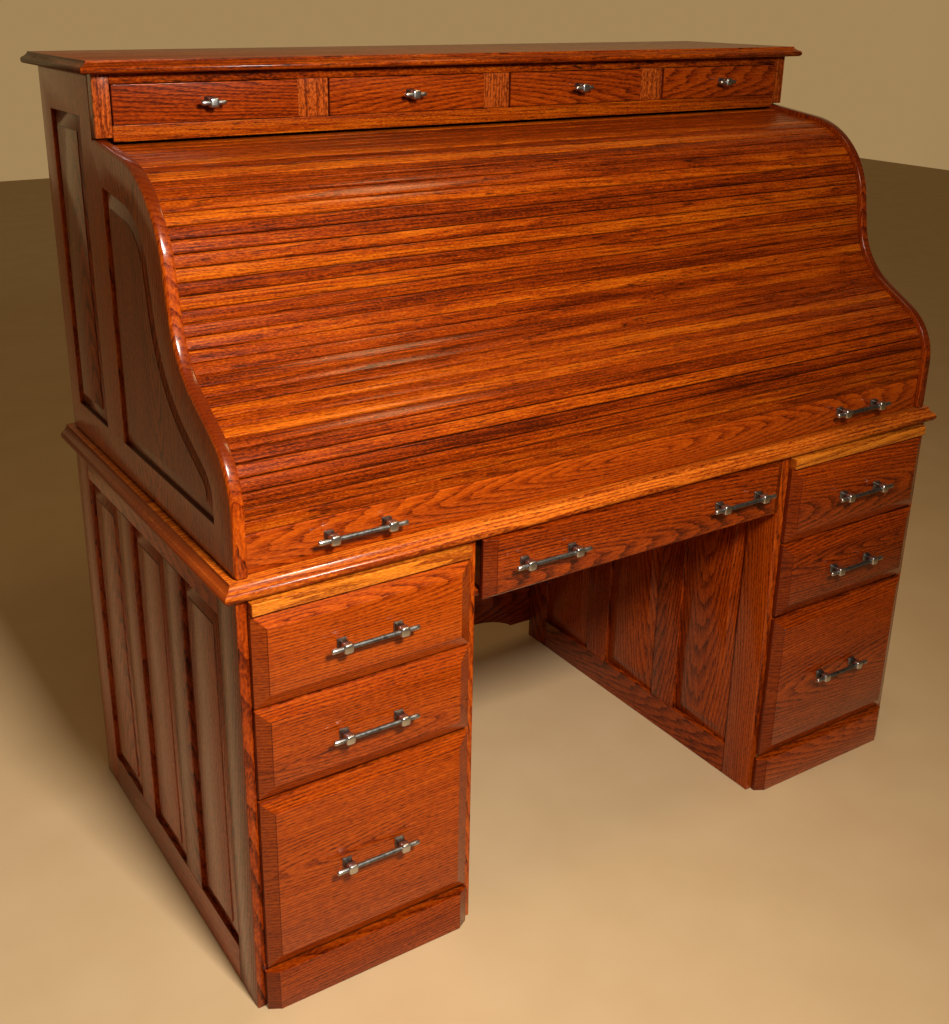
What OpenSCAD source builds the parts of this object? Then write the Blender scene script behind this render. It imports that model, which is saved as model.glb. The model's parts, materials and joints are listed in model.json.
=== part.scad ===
// Roll top desk with an S-shaped roll, two drawer pedestals and a kneehole.
// Millimetres. +X is the sitter's right, -Y is the front and +Z is up. The
// origin is on the floor, under the middle of the bounding box.

/* [Overall size] */
// Width of the desktop slab
desk_width = 1532; // [1276:4:1840]
// Depth of the desktop slab, front to back
desk_depth = 792; // [780:4:952]
// Height of the writing surface above the floor
desk_height = 762; // [720:1:910]
// Thickness of the desktop slab
slab_t = 29; // [22:1:36]
// How far the slab stands past the pedestals at each side
side_overhang = 20; // [12:1:30]
// How far the slab stands past the pedestals at the front
front_overhang = 12; // [6:1:20]
// How far the slab stands past the pedestals at the back
back_overhang = 20; // [20:1:40]

/* [Pedestals] */
// Outside width of one pedestal
pedestal_width = 404; // [340:2:480]
// Thickness of the side frames, seen from the front as stiles
side_t = 20; // [16:1:24]
// Width of the upright stiles of a side frame
stile_width = 70; // [50:1:90]
// Height of a side frame's bottom rail
bottom_rail = 71; // [50:1:90]
// Height of a side frame's top rail
top_rail = 53; // [35:1:70]
// Height of the kick board
kick_height = 74; // [55:1:90]
// Thickness of a web frame between two drawers
web_t = 19; // [14:1:22]
// Front-to-back width of a web frame's rails
web_rail = 60; // [40:1:90]

/* [Raised panels] */
// Thickness of a raised panel in its field
panel_t = 13; // [10:1:16]
// Thickness of a raised panel at its rim
panel_rim_t = 7; // [5:1:9]
// Width of a raised panel's bevel
panel_bevel = 28; // [15:1:36]
// Height of the small step between a bevel and its field
bevel_step = 1.2; // [0.5:0.1:2]
// How far a panel's field sits behind its frame's face
panel_recess = 2; // [1:0.5:4]

/* [Drawers] */
// Thickness of the drawer fronts that lie over the pedestal
front_t = 20; // [16:1:24]
// Thickness left at the rim of a bevelled drawer front
front_rim_t = 9; // [6:1:12]
// Width of the bevel on a drawer front
front_bevel = 21; // [12:1:28]
// Height of the front of each of the two shallow drawers
shallow_front = 152; // [120:1:180]
// Gap between one drawer front and the next
front_gap = 4; // [3:0.5:8]
// How far a drawer front laps over the opening at each side
front_lap = 4; // [3:1:10]
// Depth of a pedestal drawer box
drawer_depth = 640; // [480:10:640]
// Thickness of the drawer box sides
box_t = 13; // [10:1:16]
// Thickness of the drawer bottoms
box_floor_t = 6; // [4:1:8]
// Height of the centre drawer's front
centre_front = 103; // [80:1:120]
// Depth of the centre drawer's box
centre_depth = 500; // [380:10:560]

/* [Writing boards] */
// Thickness of the pull-out writing boards
board_t = 19; // [15:1:20]
// Length of the pull-out writing boards
board_depth = 500; // [400:10:620]

/* [Pulls] */
// Distance between the two posts of a pull
pull_centres = 96; // [64:32:128]
// Length of a pull's bar
pull_bar = 150; // [120:1:190]
// Diameter of a pull's bar
bar_d = 7; // [5:0.5:9]
// Width and height of a post's head
post_w = 14; // [10:0.5:16]
// How far a pull stands out from the wood
pull_reach = 27; // [22:1:36]
// Length of the bar of a small drawer's knob
knob_bar = 43; // [30:1:60]

/* [Roll] */
// Height of the straight run at the foot of the S curve
foot_run = 94; // [75:1:120]
// Radius of the lower outward bulge of the S curve
foot_radius = 119; // [100:1:145]
// Length of the straight slope between bulge and hollow
slope_run = 71; // [50:1:90]
// Radius of the hollow of the S curve
hollow_radius = 150; // [125:1:180]
// Length of the straight run above the hollow
neck_run = 62; // [45:1:80]
// Radius of the upper bulge of the S curve
crown_radius = 172; // [140:1:200]
// Length of the straight run from the upper bulge to the fascia
crown_run = 110; // [90:1:140]
// Distance from one slat to the next along the curtain
slat_pitch = 20; // [16:1:26]
// Thickness of a slat
slat_t = 10; // [8:0.5:12]
// Height of the lift rail at the foot of the curtain
rail_height = 61; // [50:1:75]
// Thickness of the lift rail
rail_t = 19; // [15:1:22]
// How far the curtain's face sits inside the edge of the S
curtain_inset = 9; // [6:0.5:14]
// Depth of the track routed in each deck side
track_depth = 7; // [6:0.5:8]
// Width of the track
track_width = 8; // [7:0.5:10]

/* [Deck] */
// Width of the border round the S-shaped panel
deck_border = 67; // [55:1:80]
// Height of the fascia's lower rail above the S-shaped sides
fascia_rail = 18; // [14:1:24]
// How far that rail hangs down between the S-shaped sides
rail_drop = 6.5; // [4:0.5:8]
// Height of the small drawers' openings
small_opening = 62; // [50:1:80]
// Height of the fascia's upper rail
fascia_head = 16; // [12:1:22]
// Width of the fascia's end stiles
fascia_end = 27; // [22:1:40]
// Width of the stiles between the small drawers
fascia_stile = 56; // [40:1:70]
// Thickness of the fascia
fascia_t = 19; // [15:1:22]
// Depth of a small drawer's box
small_depth = 190; // [140:5:190]
// Thickness of the top board
top_t = 19; // [16:1:25]
// How far the top board stands past the fascia
top_front = 26; // [18:1:34]

/* [Hidden] */
$fn = 48;
// clearances: glue line, loose fit of a panel, running fit of a slide
glue = 0.2;
fit = 0.3;
run = 1;

case_x = desk_width / 2 - side_overhang;
case_d = desk_depth - front_overhang - back_overhang;
slab_z = desk_height - slab_t;
knee_x = case_x - pedestal_width;
ped_in = pedestal_width - 2 * side_t;
ped_mid = case_x - pedestal_width / 2;
y_back = case_d + back_overhang;
y_mid = (y_back - front_t - pull_reach) / 2;

// pedestal, from the top down: writing board, two shallow drawers, deep drawer
web1_top = slab_z - board_t - 3;
d1_z = web1_top - 1 - shallow_front;
d2_z = d1_z - front_gap - shallow_front;
d3_top = d2_z - 2 * front_gap;
d3_z = kick_height + 10;
web_z = [web1_top - web_t, d1_z - (front_gap + web_t) / 2, d2_z - front_gap - web_t / 2];
floor_top = kick_height + 11;
front_w = ped_in + 2 * front_lap;
fronts = [[d1_z, shallow_front], [d2_z, shallow_front], [d3_z, d3_top - d3_z]];
box_zs = [web_z[1] + web_t, web_z[2] + web_t, floor_top];
back_panel_y = case_d - 10;
centre_z = slab_z - 2.5 - centre_front;
centre_y = 2;
centre_box_z = centre_z + 11;
centre_box_x = knee_x - 20;

// upper deck
deck_back = case_d + 4;
deck_x = case_x - 3;
deck_in = deck_x - side_t;
window_z = desk_height + 62;
pocket = 10.5;
start_y = 4;
// the curtain's own line runs this far inside the edge of the S
run_d = curtain_inset + slat_t * 0.65;
// where the curtain hollows, the canvas bends towards the middle of each slat
canvas_gap = 0.048 + pow(slat_pitch, 2) / (8 * (hollow_radius + run_d));
back_run_y = deck_back - 29;
back_radius = 100;
ease_radius = 300;

// Each piece of the path is [radius, heading at its end]. A radius of 0 is a
// straight run, and then the second value is its length.
s_curve = [[0, foot_run], [foot_radius, 30], [0, slope_run], [hollow_radius, 80],
           [0, neck_run], [crown_radius, 7], [0, crown_run]];
s_end = walk(s_curve, 0);
fascia_y = s_end[0];
fascia_z = s_end[1] + 4;
fascia_back = fascia_y + fascia_t + fit;
eased = walk(concat(s_curve, [[ease_radius, 0]]), run_d);
level_run = back_run_y - back_radius + run_d - eased[0];
to_the_back = concat(s_curve, [[ease_radius, 0], [0, level_run], [back_radius, -90]]);
s_fascia = walk(s_curve, run_d)[3];
slats = ceil((s_fascia - rail_height) / slat_pitch);
curtain_end = rail_height + 0.5 + slats * slat_pitch;
roll_travel = floor((s_fascia - rail_height - 5) / 10) * 10;
track = concat(to_the_back, [[0, curtain_end + roll_travel + 8 - walk(to_the_back, run_d)[3]]]);
groups = 10;

small_z = fascia_z + fascia_rail;
fascia_top = small_z + small_opening;
deck_top = fascia_top + fascia_head;
small_w = (2 * deck_x - 2 * fascia_end - 3 * fascia_stile) / 4;
small_gap = 1.2;
s_panel_back = fascia_y - 8;
rear_window = [deck_back - 219, deck_back - 59, window_z, deck_top - 69];
pigeon_y = [back_run_y - 255, back_run_y - 23];
pigeon_x = deck_in - 1.5;
pigeon_split = 0.34 * pigeon_x;
pigeon_board = 9;

// State on a path: [y, z, heading in degrees, length so far]. A line d inside
// the edge keeps the same centres, so its arcs shrink or grow by d.
function start(d) = [start_y + d, desk_height, 90, 0];
function radius(seg, h, d) = seg[1] < h ? seg[0] - d : seg[0] + d;
function seg_len(seg, h, d) = seg[0] == 0 ? seg[1]
    : radius(seg, h, d) * abs(seg[1] - h) * PI / 180;
function into(st, seg, u, d) = seg[0] == 0
    ? [st[0] + u * cos(st[2]), st[1] + u * sin(st[2]), st[2], st[3] + u]
    : let (r = radius(seg, st[2], d), k = seg[1] < st[2] ? -1 : 1,
           h = st[2] + k * u / r * 180 / PI)
      [st[0] + k * r * (sin(h) - sin(st[2])), st[1] + k * r * (cos(st[2]) - cos(h)),
       h, st[3] + u];
function walk(segs, d, n = undef) = let (m = is_undef(n) ? len(segs) : n)
    m == 0 ? start(d)
    : let (st = walk(segs, d, m - 1), seg = segs[m - 1]) into(st, seg, seg_len(seg, st[2], d), d);
// the state s millimetres along the curtain's own line
function along(s, i = 0, st = undef) = let (a = is_undef(st) ? start(run_d) : st,
    l = seg_len(track[i], a[2], run_d))
    s - a[3] <= l || i == len(track) - 1 ? into(a, track[i], s - a[3], run_d)
    : along(s, i + 1, into(a, track[i], l, run_d));
// a point beside the curtain's line, n millimetres towards the inside
function beside(s, n) = let (p = along(s)) [p[0] + n * sin(p[2]), p[1] - n * cos(p[2])];
// points of a whole line d inside the edge, with one every 5 degrees on arcs
function trace(segs, d) = concat([[start(d)[0], start(d)[1]]],
    [for (i = [0 : len(segs) - 1])
        let (st = walk(segs, d, i), l = seg_len(segs[i], st[2], d),
             n = segs[i][0] == 0 ? 1 : ceil(abs(segs[i][1] - st[2]) / 5 - 0.01))
        for (k = [1 : n]) let (p = into(st, segs[i], l * k / n, d)) [p[0], p[1]]]);
function reversed(list) = [for (i = [len(list) - 1 : -1 : 0]) list[i]];
function but_first(list) = [for (i = [1 : len(list) - 1]) list[i]];

// outline of the S-shaped panel, e millimetres inside its pocket
function s_window(e) = let (pts = trace(s_curve, deck_border + e), n = len(pts),
    a = pts[n - 2], b = pts[n - 1], y = s_panel_back - e)
    concat([[start_y + deck_border + e, window_z + e]], [for (i = [1 : n - 2]) pts[i]],
        [[y, a[1] + (y - a[0]) * (b[1] - a[1]) / (b[0] - a[0])], [y, window_z + e]]);
// edge of a moulded board, from its underside up: nose, hollow and small step
function moulding(half, t, e) = let (r = 0.3 * t)
    concat([for (i = [0 : 5]) let (w = -90 + 30 * i) [half - r + r * cos(w), r + r * sin(w)]],
        [for (i = [1 : 5]) let (u = i / 5)
            [half - r / 2 - (e - r / 2) * u, 1.87 * r + (0.88 * t - 1.87 * r) * pow(u, 1.5)]],
        [[half - e, t]]);
// slats in group g, and the index of its first slat
function group_size(g) = floor(slats / groups) + (g < slats % groups ? 1 : 0);
function group_first(g) = g == 0 ? 0 : group_first(g - 1) + group_size(g - 1);

// Colours
oak = "#9c4516";
oak_deep = "#7d3412";
birch = "#c9975a";
pewter = "#5d5a55";

// puts the front of the pedestals where the origin needs it
module placed() translate([0, -y_mid, 0]) children();
module on(side) mirror([side < 0 ? 1 : 0, 0, 0]) children();
module board(from, to) translate(from) cube(to - from);
// extrudes an outline drawn in Y and Z along X
module side_on(x0, x1) translate([x0, 0, 0]) rotate([90, 0, 90]) linear_extrude(x1 - x0) children();

// A raised panel or drawer front that faces -Y, centred on X, its back at y = 0
module raised(w, h, t, rim, bevel, top, bottom) intersection() {
    foot = t - bevel_step;
    linear_extrude(h) polygon([[-w / 2, 0], [-w / 2, -rim], [bevel - w / 2, -foot],
        [bevel - w / 2, -t], [w / 2 - bevel, -t], [w / 2 - bevel, -foot], [w / 2, -rim],
        [w / 2, 0]]);
    side_on(-w / 2, w / 2) polygon([[0, 0], [0, h], [-rim, h], [-foot, h - top],
        [-t, h - top], [-t, bottom], [-foot, bottom], [-rim, 0]]);
}

// A frame of four uprights between two long rails; x0 is its lower face in X
module side_frame(x0) {
    step = (case_d - stile_width) / 3;
    top = slab_z - glue;
    for (y = [0, case_d - stile_width]) board([x0, y, 0], [x0 + side_t, y + stile_width, top]);
    for (z = [[0, bottom_rail], [top - top_rail, top]])
        board([x0, stile_width + glue, z[0]], [x0 + side_t, case_d - stile_width - glue, z[1]]);
    for (i = [1, 2]) board([x0, i * step, bottom_rail + glue],
        [x0 + side_t, i * step + stile_width, top - top_rail - glue]);
}

// Three raised panels in a side frame whose face is at x, looking along dir
module side_panels(x, dir) {
    step = (case_d - stile_width) / 3;
    h = slab_z - glue - top_rail - bottom_rail - 2 * fit;
    for (i = [0 : 2])
        translate([x - dir * (panel_recess + panel_t), (i + 0.5) * step + stile_width / 2,
                   bottom_rail + fit])
            rotate([0, 0, 90 * dir])
                raised(step - stile_width - 2 * fit, h, panel_t, panel_rim_t, panel_bevel,
                       panel_bevel, panel_bevel);
}

module pedestal_panels() {
    side_panels(case_x, 1);
    side_panels(knee_x, -1);
}

// Web frames: front rail, back rail and two runners at each level
module webs() translate([ped_mid, 0, 0]) for (z = web_z) {
    half = ped_in / 2 - glue;
    back = back_panel_y - glue;
    board([-half, 0, z], [half, web_rail, z + web_t]);
    board([-half, back - web_rail, z], [half, back, z + web_t]);
    for (s = [-1, 1]) on(s)
        board([half - 45, web_rail + glue, z], [half, back - web_rail - glue, z + web_t]);
}

module pedestal_bottom() board([knee_x + side_t + glue, 0, floor_top - 19],
    [case_x - side_t - glue, back_panel_y - glue, floor_top]);

module pedestal_back() board([knee_x + side_t + glue, back_panel_y, floor_top - 25],
    [case_x - side_t - glue, back_panel_y + 6, slab_z - glue]);

module kick_board() translate([ped_mid, -glue, 0])
    raised(front_w + 6, kick_height, front_t - glue, front_rim_t, front_bevel - 3, 0, 0);

// The panel across the back of the kneehole, with an arch and two cusps below
module back_apron() {
    flat_x = knee_x - 172;
    cusp = [knee_x - 59, 44];
    arch_z = cusp[1] + 30;
    r = (pow(cusp[0] - flat_x, 2) + 900) / 60;
    half = [for (i = [0 : 10]) let (x = flat_x + (cusp[0] - flat_x) * i / 10)
        [x, arch_z - r + sqrt(r * r - pow(x - flat_x, 2))]];
    right = concat(half, [[cusp[0] + 1, 41], [knee_x + 38, 40], [knee_x + 38, slab_z - glue]]);
    translate([0, case_d + fit + 19, 0]) rotate([90, 0, 0]) linear_extrude(19)
        polygon(concat(right, [for (p = reversed(right)) [-p[0], p[1]]]));
}

// A board with its front and ends moulded and its back edge square
module moulded_board(half, front, back, z, t, e) translate([0, 0, z]) intersection() {
    edge = moulding(half, t, e);
    translate([0, back, 0]) rotate([90, 0, 0]) linear_extrude(back - front)
        polygon(concat(edge, [for (p = reversed(edge)) [-p[0], p[1]]]));
    side_on(-half, half) polygon(concat([[back, 0]],
        [for (p = moulding(back - front, t, e)) [back - p[0], p[1]]], [[back, t]]));
}

// An open box of separate boards: w wide, h high, d deep, from y = 0 backwards
module drawer_box(w, h, d, t) {
    inner = w / 2 - t - glue;
    for (s = [-1, 1]) on(s) board([w / 2 - t, 0, 0], [w / 2, d, h]);
    board([-inner, 0, 0], [inner, t, h]);
    board([-inner, d - t, 0], [inner, d, h]);
    board([-inner, t + glue, 8], [inner, d - t - glue, 8 + box_floor_t]);
}

// Pedestal drawer i: its box and the front that laps over the opening
module pedestal_drawer(i) {
    translate([ped_mid, 0, fronts[i][0]]) translate([0, -0.5, 0])
        raised(front_w, fronts[i][1], front_t - 0.5, front_rim_t, front_bevel,
               front_bevel, front_bevel);
    translate([ped_mid, -0.3, box_zs[i] + 0.5])
        drawer_box(ped_in - 2 * run, web_z[i] - box_zs[i] - 2.5, drawer_depth, box_t);
}

// A bar held by two posts that stand out along -Y; x is where the posts are
module bar_pull(xs, length) {
    reach = pull_reach - 0.1;
    bar_y = post_w / 2 - reach;
    for (x = xs) translate([x, 0, 0]) difference() {
        union() {
            board([-post_w / 2 - 1, -3, -post_w / 2 - 1], [post_w / 2 + 1, 0, post_w / 2 + 1]);
            board([-post_w / 3, bar_y, -post_w / 3], [post_w / 3, -2, post_w / 3]);
            board([-post_w / 2, -reach, -post_w / 2], [post_w / 2, post_w - reach, post_w / 2]);
        }
        translate([-post_w, bar_y, 0]) rotate([0, 90, 0]) cylinder(d = bar_d + 0.1, h = 2 * post_w);
    }
    translate([-length / 2, bar_y, 0]) rotate([0, 90, 0]) cylinder(d = bar_d, h = length);
}

module bar_pull_2() bar_pull([-pull_centres / 2, pull_centres / 2], pull_bar);
module drawer_pull(i)
    translate([ped_mid, -front_t - 0.1, fronts[i][0] + fronts[i][1] / 2]) bar_pull_2();

module writing_board() {
    nose = front_w / 2 - 1;
    board([ped_mid - nose, 3 - front_t, web1_top + 0.5],
          [ped_mid + nose, -1, web1_top + 0.5 + board_t]);
    board([ped_mid - ped_in / 2 + 6, glue - 1, web1_top + 0.5],
          [ped_mid + ped_in / 2 - 6, board_depth - 12, web1_top + 0.5 + board_t]);
}

// One S-shaped side: pockets for its panels outside, the track inside
module deck_side() difference() {
    side_on(deck_in, deck_x) polygon(concat([[start_y, desk_height + glue]],
        but_first(trace(s_curve, 0)),
        [[fascia_back, s_end[1] + (fascia_back - fascia_y) * tan(7)],
         [fascia_back, deck_top - glue], [deck_back, deck_top - glue],
         [deck_back, desk_height + glue]]));
    side_on(deck_x - pocket, deck_x + 1) {
        polygon(s_window(0));
        translate([rear_window[0], rear_window[2]])
            square([rear_window[1] - rear_window[0], rear_window[3] - rear_window[2]]);
    }
    side_on(deck_in - 1, deck_in + track_depth) polygon(concat(
        [[start_y + run_d - track_width / 2, desk_height - 1]],
        trace(track, run_d - track_width / 2), reversed(trace(track, run_d + track_width / 2)),
        [[start_y + run_d + track_width / 2, desk_height - 1]]));
}

// The S-shaped raised panel. Its bevel is carved in small steps, because its
// outline is too curved for flat cuts.
module s_panel() {
    x0 = deck_x - pocket + fit;
    rim = 4;
    field = pocket - fit - 1;
    steps = 7;
    for (i = [0 : steps]) side_on(x0 + (i == 0 ? 0 : rim + (field - rim) * (i - 1) / steps),
                                  x0 + rim + (field - rim) * i / steps)
        polygon(s_window(fit + (panel_bevel - 3) * i / steps));
}

module rear_deck_panel() translate([deck_x - pocket + fit,
    (rear_window[0] + rear_window[1]) / 2, rear_window[2] + fit]) rotate([0, 0, 90])
    raised(rear_window[1] - rear_window[0] - 2 * fit, rear_window[3] - rear_window[2] - 2 * fit,
           pocket - fit - 1, 4, panel_bevel - 3, panel_bevel - 3, panel_bevel - 3);

// Frame and three thin panels that close the back of the deck
module deck_back_boards() {
    half = deck_in - glue;
    y0 = deck_back - 9;
    z = [desk_height + glue, desk_height + 70, deck_top - 70, deck_top - glue];
    step = (2 * half - 70) / 3;
    for (i = [0 : 3]) board([i * step - half, y0, z[0]], [i * step - half + 70, deck_back, z[3]]);
    for (i = [0 : 2]) {
        x = [i * step - half + 70 + glue, (i + 1) * step - half - glue];
        board([x[0], y0, z[0]], [x[1], deck_back, z[1]]);
        board([x[0], y0, z[2]], [x[1], deck_back, z[3]]);
        board([x[0], y0 + 1, z[1] + glue], [x[1], y0 + 6, z[2] - glue]);
    }
}

module fascia_frame() {
    y = [fascia_y, fascia_y + fascia_t];
    inner = deck_x - fascia_end - glue;
    for (s = [-1, 1]) on(s)
        board([deck_x - fascia_end, y[0], fascia_z], [deck_x, y[1], deck_top - glue]);
    board([-inner, y[0], fascia_z - rail_drop], [inner, y[1], small_z]);
    board([-inner, y[0], fascia_top], [inner, y[1], deck_top - glue]);
    for (i = [-1 : 1]) translate([i * (small_w + fascia_stile), 0, 0])
        board([-fascia_stile / 2, y[0], small_z + glue],
              [fascia_stile / 2, y[1], fascia_top - glue]);
}

function small_x(i) = (i - 1.5) * (small_w + fascia_stile);

// Shelf under the small drawers and a guide on each side of every one
module drawer_bay() {
    y = [fascia_back + glue, fascia_y + small_depth + 40];
    board([-deck_in + fit, y[0], small_z - 10], [deck_in - fit, y[1], small_z]);
    for (i = [0 : 3]) for (s = [-1, 1]) {
        x = small_x(i) + s * (small_w / 2 + 3.2);
        board([x - 3, y[0], small_z + glue], [x + 3, y[1], deck_top - glue]);
    }
}

module small_drawer(i) translate([small_x(i), 0, small_z + small_gap]) {
    w = small_w - 2 * small_gap;
    h = small_opening - 2 * small_gap;
    board([-w / 2, fascia_y - 4, 0], [w / 2, fascia_y + 11, h]);
    translate([0, fascia_y + 11 + glue, 0]) drawer_box(w, h - 4, small_depth - 11, 9);
}

module small_knob(i) translate([small_x(i), fascia_y - 4.1, small_z + small_opening / 2])
    bar_pull([0], knob_bar);

module centre_box() {
    translate([0, centre_y, centre_z]) raised(2 * knee_x - 19, centre_front, front_t,
        front_rim_t, front_bevel, 0, 8);
    translate([0, centre_y + glue, centre_box_z])
        drawer_box(2 * centre_box_x, centre_front - 34, centre_depth, box_t);
}

module centre_pull_pair() for (s = [-1, 1])
    translate([s * (knee_x - 129), centre_y - front_t - 0.1, centre_z + centre_front * 0.54])
        bar_pull_2();

module centre_rails() for (s = [-1, 1]) on(s)
    board([knee_x - 38, centre_y + 4, centre_box_z - 9.5],
          [knee_x - glue, centre_y + centre_depth + 10, centre_box_z - 0.5]);

// A plain nest of pigeonholes that stands on the desktop behind the roll
module pigeonhole_nest() {
    b = pigeon_board;
    z = [desk_height + glue, fascia_z - 66];
    mid_z = z[0] + 0.42 * (z[1] - z[0]);
    for (v = [z[0], z[1] - b])
        board([-pigeon_x, pigeon_y[0], v], [pigeon_x, pigeon_y[1], v + b]);
    for (s = [-1, 1]) on(s) {
        for (x = [pigeon_split, pigeon_x - b])
            board([x, pigeon_y[0], z[0] + b + glue], [x + b, pigeon_y[1], z[1] - b - glue]);
        board([pigeon_split + b + glue, pigeon_y[0], mid_z],
              [pigeon_x - b - glue, pigeon_y[1], mid_z + b]);
        translate([(pigeon_split + pigeon_x) / 2, 0, 0])
            board([-b / 2, pigeon_y[0], mid_z + b + glue],
                  [b / 2, pigeon_y[1], z[1] - b - glue]);
    }
}

module rail_board() board([1 - deck_in, start_y + curtain_inset, desk_height + 0.5],
    [deck_in - 1, start_y + curtain_inset + rail_t, desk_height + 0.5 + rail_height]);

module rail_tongues() for (s = [-1, 1]) on(s)
    board([deck_in - 1 + glue, start_y + run_d - 2.5, desk_height + 2],
          [deck_in + track_depth - 1, start_y + run_d + 2.5, desk_height + rail_height - 1]);

module rail_pull_pair() for (s = [-1, 1])
    translate([s * ped_mid, start_y + curtain_inset - 0.1, desk_height + 32.5]) bar_pull_2();

// One slat: a board with eased edges, thinned to a tongue at each end
module slat(s) {
    p = along(s);
    half = slat_pitch / 2 - 0.3;
    out = slat_t * 0.65;
    rotate([90, 0, 90]) translate([p[0], p[1], 0]) rotate(p[2]) {
        linear_extrude(2 * deck_in - 2, center = true)
            polygon([[-half + 0.5, out - slat_t], [half - 0.5, out - slat_t], [half, 2 + out - slat_t],
                [half, out - 3], [half - 2.5, out], [2.5 - half, out], [-half, out - 3],
                [-half, 2 + out - slat_t]]);
        linear_extrude(2 * (deck_in + track_depth - 1), center = true)
            square([2 * half - 0.8, 5], center = true);
    }
}

// A group of neighbouring slats and the strip of canvas that joins them
module tambour(g) {
    s0 = rail_height + 0.5 + group_first(g) * slat_pitch;
    n = group_size(g);
    for (i = [0 : n - 1]) slat(s0 + (i + 0.5) * slat_pitch);
    m = 4 * n;
    at = [for (i = [0 : m]) s0 + 0.4 + (n * slat_pitch - 0.8) * i / m];
    inside = slat_t * 0.35 + canvas_gap;
    color(birch) side_on(12 - deck_in, deck_in - 12)
        polygon(concat([for (s = at) beside(s, inside)],
                       [for (s = reversed(at)) beside(s, inside + 1)]));
}

// The named pieces
module left_outer_side() color(oak_deep) placed() on(-1) side_frame(case_x - side_t);
module left_knee_side() color(oak) placed() on(-1) side_frame(knee_x);
module right_knee_side() color(oak) placed() side_frame(knee_x);
module right_outer_side() color(oak_deep) placed() side_frame(case_x - side_t);
module left_side_panels() color(oak) placed() on(-1) pedestal_panels();
module right_side_panels() color(oak) placed() pedestal_panels();
module left_webs() color(birch) placed() on(-1) webs();
module right_webs() color(birch) placed() webs();
module pedestal_bottoms() color(birch) placed() for (s = [-1, 1]) on(s) pedestal_bottom();
module pedestal_backs() color(oak_deep) placed() for (s = [-1, 1]) on(s) pedestal_back();
module kick_boards() color(oak_deep) placed() for (s = [-1, 1]) on(s) kick_board();
module modesty_panel() color(oak_deep) placed() back_apron();
module centre_runners() color(birch) placed() centre_rails();
module desktop() color(oak) placed() moulded_board(desk_width / 2, -front_overhang, y_back, slab_z, slab_t, 12.5);
module left_deck_side() color(oak_deep) placed() on(-1) deck_side();
module right_deck_side() color(oak_deep) placed() deck_side();
module deck_side_panels() color(oak) placed() for (s = [-1, 1]) on(s) {
        s_panel();
        rear_deck_panel();
    }
module deck_back_panel() color(oak_deep) placed() deck_back_boards();
module fascia() color(oak) placed() fascia_frame();
module small_drawer_bay() color(birch) placed() drawer_bay();
module top_board() color(oak) placed() moulded_board(desk_width / 2, fascia_y - top_front, y_back, deck_top, top_t, 12.5);
module pigeonholes() color(oak) placed() pigeonhole_nest();
module left_drawer_1() color(oak) placed() on(-1) pedestal_drawer(0);
module left_drawer_2() color(oak) placed() on(-1) pedestal_drawer(1);
module left_drawer_3() color(oak) placed() on(-1) pedestal_drawer(2);
module right_drawer_1() color(oak) placed() pedestal_drawer(0);
module right_drawer_2() color(oak) placed() pedestal_drawer(1);
module right_drawer_3() color(oak) placed() pedestal_drawer(2);
module centre_drawer() color(oak) placed() centre_box();
module left_pull_1() color(pewter) placed() on(-1) drawer_pull(0);
module left_pull_2() color(pewter) placed() on(-1) drawer_pull(1);
module left_pull_3() color(pewter) placed() on(-1) drawer_pull(2);
module right_pull_1() color(pewter) placed() drawer_pull(0);
module right_pull_2() color(pewter) placed() drawer_pull(1);
module right_pull_3() color(pewter) placed() drawer_pull(2);
module centre_pulls() color(pewter) placed() centre_pull_pair();
module left_writing_board() color(birch) placed() on(-1) writing_board();
module right_writing_board() color(birch) placed() writing_board();
module small_drawer_1() color(oak) placed() small_drawer(0);
module small_drawer_2() color(oak) placed() small_drawer(1);
module small_drawer_3() color(oak) placed() small_drawer(2);
module small_drawer_4() color(oak) placed() small_drawer(3);
module small_knob_1() color(pewter) placed() small_knob(0);
module small_knob_2() color(pewter) placed() small_knob(1);
module small_knob_3() color(pewter) placed() small_knob(2);
module small_knob_4() color(pewter) placed() small_knob(3);
module lift_rail() color(oak) placed() rail_board();
module lift_rail_tongues() color(oak_deep) placed() rail_tongues();
module lift_rail_pulls() color(pewter) placed() rail_pull_pair();
module tambour_1() color(oak_deep) placed() tambour(0);
module tambour_2() color(oak) placed() tambour(1);
module tambour_3() color(oak_deep) placed() tambour(2);
module tambour_4() color(oak) placed() tambour(3);
module tambour_5() color(oak_deep) placed() tambour(4);
module tambour_6() color(oak) placed() tambour(5);
module tambour_7() color(oak_deep) placed() tambour(6);
module tambour_8() color(oak) placed() tambour(7);
module tambour_9() color(oak_deep) placed() tambour(8);
module tambour_10() color(oak) placed() tambour(9);

left_outer_side();
left_knee_side();
right_knee_side();
right_outer_side();
left_side_panels();
right_side_panels();
left_webs();
right_webs();
pedestal_bottoms();
pedestal_backs();
kick_boards();
modesty_panel();
centre_runners();
desktop();
left_deck_side();
right_deck_side();
deck_side_panels();
deck_back_panel();
fascia();
small_drawer_bay();
top_board();
pigeonholes();
left_drawer_1();
left_drawer_2();
left_drawer_3();
right_drawer_1();
right_drawer_2();
right_drawer_3();
centre_drawer();
left_pull_1();
left_pull_2();
left_pull_3();
right_pull_1();
right_pull_2();
right_pull_3();
centre_pulls();
left_writing_board();
right_writing_board();
small_drawer_1();
small_drawer_2();
small_drawer_3();
small_drawer_4();
small_knob_1();
small_knob_2();
small_knob_3();
small_knob_4();
lift_rail();
lift_rail_tongues();
lift_rail_pulls();
tambour_1();
tambour_2();
tambour_3();
tambour_4();
tambour_5();
tambour_6();
tambour_7();
tambour_8();
tambour_9();
tambour_10();
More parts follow.
